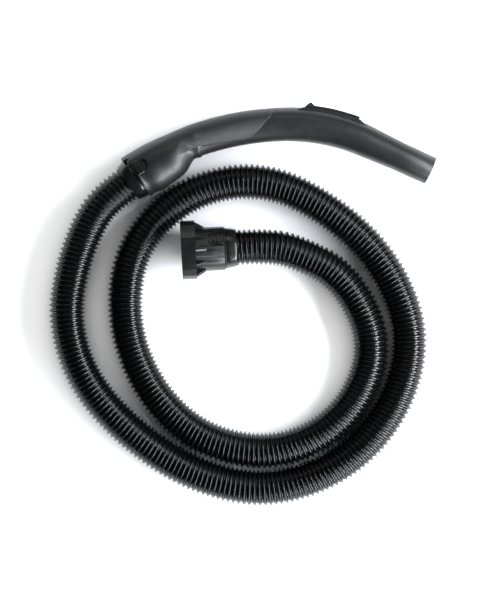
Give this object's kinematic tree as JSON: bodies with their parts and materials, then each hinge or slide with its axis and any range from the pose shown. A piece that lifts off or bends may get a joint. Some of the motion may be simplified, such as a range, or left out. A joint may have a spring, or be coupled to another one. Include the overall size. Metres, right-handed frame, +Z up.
{
  "type": "vacuum hose",
  "caption": "Canister vacuum hose: bent hand grip with air-relief slider and wand end, corrugated hose lying in loops, and a flanged twist-on machine coupling.",
  "frame": {"origin": "bottom centre of the box around everything but the hose, on the floor that the hose lies on", "axes": "+X along the hand grip, from the cuff towards the wand end; +Z up, away from the floor"},
  "size_m": [0.4328, 0.4506, 0.0659],
  "materials": {
    "hose": "semi-gloss",
    "casing": "satin",
    "coupling": "satin",
    "cuff": "satin",
    "latch": "satin",
    "slider": "satin",
    "spring_ring": "satin",
    "seal": "matt",
    "screws": "zinc plated"
  },
  "bodies": {
    "hose_line": {"hose": "hose", "handle_cuff": "cuff", "handle_snap_ring": "spring_ring", "handle_lip_seal": "seal", "machine_cuff": "cuff", "machine_snap_ring": "spring_ring", "machine_lip_seal": "seal"},
    "hand_grip": {"handle_shell_left": "casing", "handle_shell_right": "casing", "handle_screws": "screws", "handle_latch_collar": "latch"},
    "air_slider": {"air_slider": "slider", "slider_keeper": "slider"},
    "handle_latch_front": {"handle_latch_front": "latch"},
    "handle_latch_back": {"handle_latch_back": "latch"},
    "machine_coupling": {"coupling_body": "coupling", "machine_latch_collar": "latch", "socket_seal": "seal"},
    "machine_latch_front": {"machine_latch_front": "latch"},
    "machine_latch_back": {"machine_latch_back": "latch"}
  },
  "joints": [
    {"name": "handle_swivel", "type": "hinge", "parent": "hose_line", "child": "hand_grip", "pos_m": [-0.1543, 0.0151, 0.0276], "axis": [0.829, 0.5592, 0], "continuous": true},
    {"name": "machine_swivel", "type": "hinge", "parent": "hose_line", "child": "machine_coupling", "pos_m": [-0.0597, -0.0655, 0.032], "axis": [-0.9983, -0.0523, 0.0262], "continuous": true},
    {"name": "air_slider_slide", "type": "hinge", "parent": "hand_grip", "child": "air_slider", "pos_m": [0.01324, -0.13199, 0.01343], "axis": [0.0367, -0.0544, 0.9978], "range_deg": [0, 2.9]},
    {"name": "handle_latch_front_press", "type": "hinge", "parent": "hand_grip", "child": "handle_latch_front", "pos_m": [-0.13938, 0.03233, 0.04941], "axis": [0.5395, -0.7999, 0.2629], "range_deg": [0, 4], "stiffness_Nm_per_rad": 2},
    {"name": "handle_latch_back_press", "type": "hinge", "parent": "hand_grip", "child": "handle_latch_back", "pos_m": [-0.13274, 0.02248, 0.00579], "axis": [-0.5395, 0.7999, -0.2629], "range_deg": [0, 4], "stiffness_Nm_per_rad": 2},
    {"name": "machine_latch_front_press", "type": "hinge", "parent": "machine_coupling", "child": "machine_latch_front", "pos_m": [-0.08167, -0.05738, 0.05075], "axis": [-0.0585, 0.8892, -0.4538], "range_deg": [0, 3.4], "stiffness_Nm_per_rad": 2},
    {"name": "machine_latch_back_press", "type": "hinge", "parent": "machine_coupling", "child": "machine_latch_back", "pos_m": [-0.08165, -0.07592, 0.01441], "axis": [0.0585, -0.8892, 0.4538], "range_deg": [0, 3.4], "stiffness_Nm_per_rad": 2}
  ]
}
